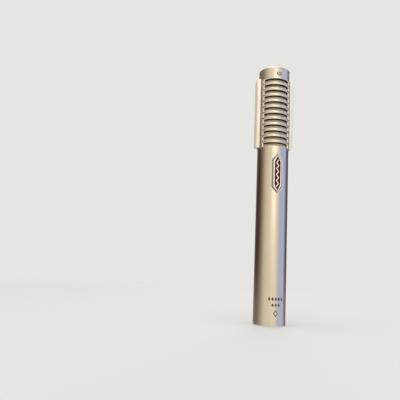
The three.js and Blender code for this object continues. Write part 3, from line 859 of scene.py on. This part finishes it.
# ------------------------------------------------------------------ magnet housings
def housing(name, s):
    r, e = 1.6, 2.2
    x1, h, z0, z1 = EAR_R, EAR_HALF, EAR_Z0, EAR_Z1

    def outline(u0, u1, v0, v1, rad, n):
        p = [(u0, v0)]
        p += [(u1 - rad + rad * math.cos(math.radians(a)), v0 + rad + rad * math.sin(math.radians(a))) for a in np.linspace(-90, 0, n + 1)]
        p += [(u1 - rad + rad * math.cos(math.radians(a)), v1 - rad + rad * math.sin(math.radians(a))) for a in np.linspace(0, 90, n + 1)]
        p += [(u0, v1)]
        return [(s * a, b) for a, b in p]

    o = make(name, *prism(outline(10.2, x1, -h, h, r, 10), z0, z1))
    cut(o, [prism(outline(9.0, x1, z0, z1, e, 10), -6, 6, "y")], "INTERSECT")
    x = sorted((s * 9.0, s * 14.2))
    bevelled(o, 0.22, 2, 40)
    cut(o, [block(x[0], x[1], -2.95, 2.95, 141.4, 195.2)])
    smooth(o, 28)
    return o


for nm, s in (("left", -1), ("right", 1)):
    place(housing("magnet_housing_surface_" + nm, s), ear_nickel, stands_for=("magnet_housing_" + nm,))

# ------------------------------------------------------------------ badge
face = -bez_lo[1]
back = SEAT + 0.02
z0, z1, hw = bez_lo[2], bez_hi[2], bez_hi[0]


def hexa(inset, y):
    zi = inset * 1.15
    return [(u, y, v) for u, v in hexagon(z0 + zi, z1 - zi, hw - inset, 4.6)]


B = 0.86
rings = [hexa(0.0, -back), hexa(0.0, -(face - 0.22)), hexa(0.08, -(face - 0.08)), hexa(0.24, -face), hexa(B - 0.16, -face), hexa(B - 0.04, -(face - 0.06)), hexa(B, -(face - 0.18)), hexa(B, -back)]
bez = make("badge_rim", *loft(rings, cap=False, close_v=True))
smooth(bez, 30)
place(bez, bezel_metal, stands_for=("badge_bezel",))
ef = face - 0.16
rings = [hexa(B + 0.02, -back), hexa(B + 0.02, -(ef - 0.06)), hexa(B + 0.1, -(ef - 0.01)), hexa(B + 0.35, -ef)]
en = make("badge_field", *loft(rings))
smooth(en, 30)
place(en, enamel, stands_for=("badge_enamel",))

# a raised pleated line down the field, like a ribbon's folds
zig = []
zc, zlen, n = (z0 + z1) / 2, 21.5, 9
for i in range(n + 1):
    zig.append((0.85 * (1 if i % 2 else -1), zc - zlen / 2 + zlen * i / n))
left, right = [], []
for i, (u, v) in enumerate(zig):
    p = np.array((u, v))
    dirs = []
    if i > 0:
        d = p - np.array(zig[i - 1]); dirs.append(d / np.linalg.norm(d))
    if i < n:
        d = np.array(zig[i + 1]) - p; dirs.append(d / np.linalg.norm(d))
    t = sum(dirs); t = t / np.linalg.norm(t)
    nrm = np.array((-t[1], t[0]))
    w = 0.37 / max(0.5, abs(nrm @ np.array((-dirs[0][1], dirs[0][0]))))
    left.append(p + nrm * w); right.append(p - nrm * w)
verts, faces = [], []
for yy in (-(ef - 0.05), -(face - 0.02)):
    for pts in (left, right):
        verts += [(p[0], yy, p[1]) for p in pts]
k = n + 1
for i in range(n):
    faces += [(i, i + 1, k + i + 1, k + i), (2 * k + i, 3 * k + i, 3 * k + i + 1, 2 * k + i + 1), (i, 2 * k + i, 2 * k + i + 1, i + 1), (k + i, k + i + 1, 3 * k + i + 1, 3 * k + i)]
faces += [(0, k, 3 * k, 2 * k), (k - 1, 3 * k - 1, 4 * k - 1, 2 * k - 1)]
zz = make("badge_pleat", verts, faces)
bevelled(zz, 0.05, 2, 40)
smooth(zz, 30)
place(zz, bezel_metal)


# ------------------------------------------------------------------ rear switch buttons: ridged thumb pieces
def button(name, node):
    lo, hi = span(node)
    pts = [(lo[1], lo[2]), (hi[1] - 0.28, lo[2]), (hi[1] - 0.08, lo[2] + 0.1)]
    n = 4
    zs = np.linspace(lo[2] + 0.3, hi[2] - 0.3, 2 * n + 1)
    for i, z in enumerate(zs):
        pts.append((hi[1] - (0.0 if i % 2 == 0 else 0.3), z))
    pts += [(hi[1] - 0.08, hi[2] - 0.1), (hi[1] - 0.28, hi[2]), (lo[1], hi[2])]
    o = make(name, *prism(pts, lo[0], hi[0], "x"))
    bevelled(o, 0.06, 2, 30)
    smooth(o, 28)
    return o


place(button("pad_button", "pad_switch_button"), button_black, "pad_switch", ("pad_switch_button",))
place(button("bass_cut_button", "bass_cut_switch_button"), button_black, "bass_cut_switch", ("bass_cut_switch_button",))

# ------------------------------------------------------------------ connector
clo, chi = span("connector_shell")
sr = 9.5
shell = make("connector_sleeve", *turned([(sr + 0.25, 0.5), (chi[0] - 0.15, 0.5), (chi[0], 0.65), (chi[0], 20.45), (chi[0] - 0.15, 20.6), (sr + 0.1, 20.6), (sr, 20.5), (sr, 0.75)], 144))
cut(shell, [block(-1.0, 1.0, 8.72, 10.2, 1.3, 14.2)], "UNION")
cut(shell, [moved(turned([(0, 0), (1.3, 0), (1.3, 4), (0, 4)], 24), pointing((0, 1, 0), (0, 8, 17.5))), block(-2.2, 2.2, -12, -8, 8.0, 11.0)])
true_round(shell, (chi[0], sr))
place(shell, shell_metal, stands_for=("connector_shell",))
ilo, ihi = span("connector_insert")
ir = sr - 0.12
ins = make("connector_block", *turned([(0, 20.2), (ir - 0.2, 20.2), (ir, 20.0), (ir, 15.0), (ir - 0.2, 14.8), (7.4, 14.8), (7.2, 15.0), (6.9, 15.0), (6.7, 14.8), (0, 14.8)], 96))
pins = [(n, 4.6 * math.cos(math.radians(a)), 4.6 * math.sin(math.radians(a))) for n, a in ((1, 45), (2, 135), (3, 270))]
cut(ins, [turned([(0, 14), (1.42, 14), (1.42, 14.9), (1.27, 15.1), (1.27, 21), (0, 21)], 28, (x, y)) for _, x, y in pins] + [moved(turned([(0, 0), (1.2, 0), (1.2, 4), (0, 4)], 20), pointing((0, 1, 0), (0, 6.5, 17.5)))])
smooth(ins, 30)
place(ins, black, stands_for=("connector_insert",))
for n, x, y in pins:
    z = 1.8
    prof = [(0, z)] + [(1.2 * math.sin(math.radians(a)), z + 1.3 * (1 - math.cos(math.radians(a)))) for a in (15, 30, 45, 60, 75, 90)] + [(1.2, 21.0), (1.05, 21.2), (1.05, 23.8), (0.85, 24.0), (0.62, 24.0), (0.62, 22.2), (0, 22.0)]
    p = make("contact_%d" % n, *turned(prof, 36, (x, y)))
    smooth(p, 32)
    place(p, gold, stands_for=("contact_pin_%d" % n,))
slo, shi = span("connector_screw")
zc = (slo[2] + shi[2]) / 2
cs = make("connector_screw_head", *turned([(0, 4.85), (0.75, 4.8), (0.95, 4.6), (0.95, 0.1), (0.8, 0), (0, 0)], 32))
cut(cs, [block(-0.16, 0.16, -2, 2, 4.35, 6)])
sc = Matrix.Diagonal((MM, MM, MM, 1))
cs.data.transform(sc @ (pointing((0, 1, 0), (0, slo[1], zc)) @ Matrix.Rotation(0.5, 4, "Z")) @ sc.inverted())
smooth(cs, 30)
place(cs, screw_metal, stands_for=("connector_screw",))

# ------------------------------------------------------------------ ribbon: fine even pleats across its length
rlo, rhi = span("ribbon")
ry = (rlo[1] + rhi[1]) / 2
zm, half, tab = (rlo[2] + rhi[2]) / 2, 22.25, 3.0
n = 74
line = [(ry, zm - half - tab), (ry, zm - half)]
for i in range(1, 2 * n):
    line.append((ry + (0.3 if i % 2 else -0.3) * min(1.0, i / 4, (2 * n - i) / 4), zm - half + 2 * half * i / (2 * n)))
line += [(ry, zm + half), (ry, zm + half + tab)]
t = 0.03
pts = [(y - t, z) for y, z in line] + [(y + t, z) for y, z in reversed(line)]
vs = [(x, y, z) for x in (-2.375, 2.375) for y, z in pts]
m = len(pts)
fs = []
for i in range(m):
    j = (i + 1) % m
    fs.append((i, j, m + j, m + i))
L = len(line)
for base in (0, m):
    for i in range(L - 1):
        fs.append((base + i, base + i + 1, base + m - 2 - i, base + m - 1 - i))
rib = make("ribbon_foil_pleated", vs, fs)
place(rib, foil, "ribbon", ("ribbon",))

# ------------------------------------------------------------------ inner pieces that keep their CAD shape
keep = {
    "magnet_left": magnet_metal, "magnet_right": magnet_metal,
    "pole_piece_left": iron, "pole_piece_right": iron, "transformer_bracket": iron, "transformer_core": iron,
    "motor_plate_upper": black, "motor_plate_lower": black, "clamp_base_upper": black, "clamp_base_lower": black,
    "board_bracket_upper": black, "board_bracket_lower": black, "input_transistor_pair": black,
    "clamp_bar_upper": brass, "clamp_bar_lower": brass,
    "clamp_screw_upper_left": brass, "clamp_screw_upper_right": brass, "clamp_screw_lower_left": brass, "clamp_screw_lower_right": brass,
    "isolator_upper": rubber, "isolator_lower": rubber,
    "transformer_can": can_metal, "pad_switch_body": can_metal, "bass_cut_switch_body": can_metal,
    "winding_primary": winding, "winding_secondary": winding, "transformer_bolt": screw_metal,
    "circuit_board": board_green, "capacitor_electrolytic": sleeve_blue, "capacitor_film": film_red,
    "ribbon_lead_upper": lead_white_m, "ribbon_lead_lower": lead_white_m, "transformer_lead_left": lead_white_m,
    "transformer_lead_right": lead_red_m, "connector_lead_1": lead_white_m, "connector_lead_2": lead_red_m, "connector_lead_3": lead_red_m,
}
for nm, mat in keep.items():
    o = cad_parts[nm]
    if len(o.material_slots) == 0:
        o.data.materials.append(mat)
    for s in o.material_slots:
        s.material = mat

# ------------------------------------------------------------------ floor
floor_r = 0.9
n = 96
v = [(0, 0, 0)]
f = []
steps = [0.02, 0.05, 0.1, 0.2, 0.4, 0.65, 0.9]
for r in steps:
    v += [(r * math.cos(2 * math.pi * i / n), r * math.sin(2 * math.pi * i / n), 0) for i in range(n)]
for i in range(n):
    f.append((0, 1 + i, 1 + (i + 1) % n))
for j in range(len(steps) - 1):
    for i in range(n):
        a, b2 = 1 + j * n + i, 1 + j * n + (i + 1) % n
        f.append((a, a + n, b2 + n, b2))
fm = bpy.data.meshes.new("floor")
fm.from_pydata([(x, y, z - 0.00002) for x, y, z in v], [], f)
floor = link(bpy.data.objects.new("floor", fm))
mat = bpy.data.materials.new("floor_pale")
mat.use_nodes = True
nt = mat.node_tree
nt.nodes.clear()
out = nt.nodes.new("ShaderNodeOutputMaterial")
dif = nt.nodes.new("ShaderNodeBsdfDiffuse")
lpf = nt.nodes.new("ShaderNodeLightPath")
tone = mix_colour(nt, lpf.outputs["Is Camera Ray"], (0.78, 0.765, 0.745), (0.743, 0.758, 0.795))
nt.links.new(tone, dif.inputs[0])
tr = nt.nodes.new("ShaderNodeBsdfTransparent")
mx = nt.nodes.new("ShaderNodeMixShader")
tc = nt.nodes.new("ShaderNodeTexCoord")
ln = nt.nodes.new("ShaderNodeVectorMath")
ln.operation = "LENGTH"
nt.links.new(tc.outputs["Object"], ln.inputs[0])
mr = nt.nodes.new("ShaderNodeMapRange")
mr.interpolation_type = "SMOOTHSTEP"
mr.inputs["From Min"].default_value = 0.10
mr.inputs["From Max"].default_value = 0.75
nt.links.new(ln.outputs["Value"], mr.inputs["Value"])
faint = maths(nt, "MULTIPLY", lpf.outputs["Is Glossy Ray"], 0.78)
nt.links.new(maths(nt, "MAXIMUM", mr.outputs[0], faint), mx.inputs[0])
nt.links.new(dif.outputs[0], mx.inputs[1])
nt.links.new(tr.outputs[0], mx.inputs[2])
nt.links.new(mx.outputs[0], out.inputs[0])
floor.data.materials.append(mat)
floor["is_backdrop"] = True

# ------------------------------------------------------------------ studio: soft surroundings as a world, plus soft lamps
TURN = 18.4  # the camera stands this far round to the left of the front, in degrees
world = bpy.data.worlds.new("studio")
bpy.context.scene.world = world
world.use_nodes = True
nt = world.node_tree
nt.nodes.clear()
out = nt.nodes.new("ShaderNodeOutputWorld")
lp = nt.nodes.new("ShaderNodeLightPath")
tc = nt.nodes.new("ShaderNodeTexCoord")
rot = nt.nodes.new("ShaderNodeVectorRotate")
rot.rotation_type = "Z_AXIS"
rot.inputs["Angle"].default_value = math.radians(TURN)
nt.links.new(tc.outputs["Generated"], rot.inputs["Vector"])
sp = nt.nodes.new("ShaderNodeSeparateXYZ")
nt.links.new(rot.outputs[0], sp.inputs[0])
# azimuth of the direction, from the camera's side (-Y) toward +X, as 0..1 with 0.5 straight at the camera
a = nt.nodes.new("ShaderNodeMath")
a.operation = "ARCTAN2"
nt.links.new(sp.outputs[0], a.inputs[0])
neg = nt.nodes.new("ShaderNodeMath")
neg.operation = "MULTIPLY"
neg.inputs[1].default_value = -1
nt.links.new(sp.outputs[1], neg.inputs[0])
nt.links.new(neg.outputs[0], a.inputs[1])
fac = nt.nodes.new("ShaderNodeMath")
fac.operation = "MULTIPLY_ADD"
fac.inputs[1].default_value = 1 / (2 * math.pi)
fac.inputs[2].default_value = 0.5
nt.links.new(a.outputs[0], fac.inputs[0])


def A(deg):
    return 0.5 + deg / 360.0


stops = [
    (A(-180), (0.34, 0.31, 0.28)),
    (A(-150), (0.16, 0.13, 0.12)),
    (A(-122), (0.03, 0.014, 0.012)),
    (A(-98), (0.05, 0.022, 0.018)),
    (A(-76), (0.2, 0.14, 0.115)),
    (A(-54), (0.56, 0.48, 0.40)),
    (A(-30), (0.82, 0.73, 0.61)),
    (A(0), (0.86, 0.76, 0.62)),
    (A(26), (1.0, 0.9, 0.74)),
    (A(44), (0.88, 0.8, 0.72)),
    (A(60), (0.5, 0.53, 0.66)),
    (A(78), (0.46, 0.56, 0.88)),
    (A(104), (0.5, 0.62, 1.08)),
    (A(118), (0.16, 0.15, 0.24)),
    (A(132), (0.05, 0.03, 0.03)),
    (A(152), (0.08, 0.06, 0.055)),
    (A(180), (0.34, 0.31, 0.28)),
]
azcol = ramp(nt, fac.outputs[0], stops, "B_SPLINE" if False else "EASE")
# lighter overhead
up = nt.nodes.new("ShaderNodeMapRange")
up.interpolation_type = "SMOOTHSTEP"
up.inputs["From Min"].default_value = 0.25
up.inputs["From Max"].default_value = 0.95
nt.links.new(sp.outputs[2], up.inputs["Value"])
lit = mix_colour(nt, up.outputs[0], azcol, (1.0, 0.96, 0.9))
bg_light = nt.nodes.new("ShaderNodeBackground")
even = maths(nt, "MULTIPLY", lp.outputs["Is Diffuse Ray"], 0.8)
nt.links.new(mix_colour(nt, even, lit, (0.80, 0.765, 0.70)), bg_light.inputs[0])
bg_light.inputs[1].default_value = 1.0
bg_cam = nt.nodes.new("ShaderNodeBackground")
bg_cam.inputs[0].default_value = (0.80, 0.785, 0.765, 1)
bg_cam.inputs[1].default_value = 1.0
mx = nt.nodes.new("ShaderNodeMixShader")
nt.links.new(lp.outputs["Is Camera Ray"], mx.inputs[0])
nt.links.new(bg_light.outputs[0], mx.inputs[1])
nt.links.new(bg_cam.outputs[0], mx.inputs[2])
nt.links.new(mx.outputs[0], out.inputs[0])


def lamp(name, az_deg, elev, dist, size, power, colour, z_at=0.1, shape="RECTANGLE", size_y=None):
    d = bpy.data.lights.new(name, "AREA")
    d.shape = shape
    d.size = size
    d.size_y = size_y or size
    d.energy = power
    d.color = colour
    o = link(bpy.data.objects.new(name, d))
    q, e = math.radians(az_deg - TURN), math.radians(elev)
    back = Vector((math.sin(q) * math.cos(e), -math.cos(q) * math.cos(e), math.sin(e)))
    target = Vector((0, 0, z_at))
    o.location = target + back * dist
    o.rotation_mode = "QUATERNION"
    o.rotation_quaternion = back.to_track_quat("Z", "Y")
    o.visible_camera = False
    return o


lamp("key", 14, 20, 0.8, 0.45, 0.45, (1.0, 0.93, 0.82), size_y=0.5)
lamp("overhead", -30, 78, 0.7, 0.4, 1.2, (1.0, 0.97, 0.92), z_at=0.05)
lamp("rear_fill", 176, 35, 0.8, 0.35, 1.0, (1.0, 0.96, 0.9))

# ------------------------------------------------------------------ camera, at the photograph's viewing angle
ROLL = 9.0
loc = Vector((-57.633, -347.798, 43.357)) * MM
fwd = Vector((0.0, 0.98922, 0.14643))
upv = Vector((-0.04658, -0.14627, 0.98815))
rz = Matrix.Rotation(math.radians(-ROLL), 3, "Z")
loc, fwd, upv = rz @ loc, (rz @ fwd).normalized(), (rz @ upv).normalized()
right = fwd.cross(upv).normalized()
upv = right.cross(fwd)
cam = bpy.data.cameras.new("camera")
cam.sensor_width = 36
cam.lens = 36 * 437.2 / 400
cam.clip_start, cam.clip_end = 0.005, 20
co = link(bpy.data.objects.new("camera", cam))
co.matrix_world = Matrix(((right.x, upv.x, -fwd.x, loc.x), (right.y, upv.y, -fwd.y, loc.y), (right.z, upv.z, -fwd.z, loc.z), (0, 0, 0, 1)))
bpy.context.scene.camera = co
bpy.context.scene.view_settings.view_transform = "Standard"

lo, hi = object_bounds()
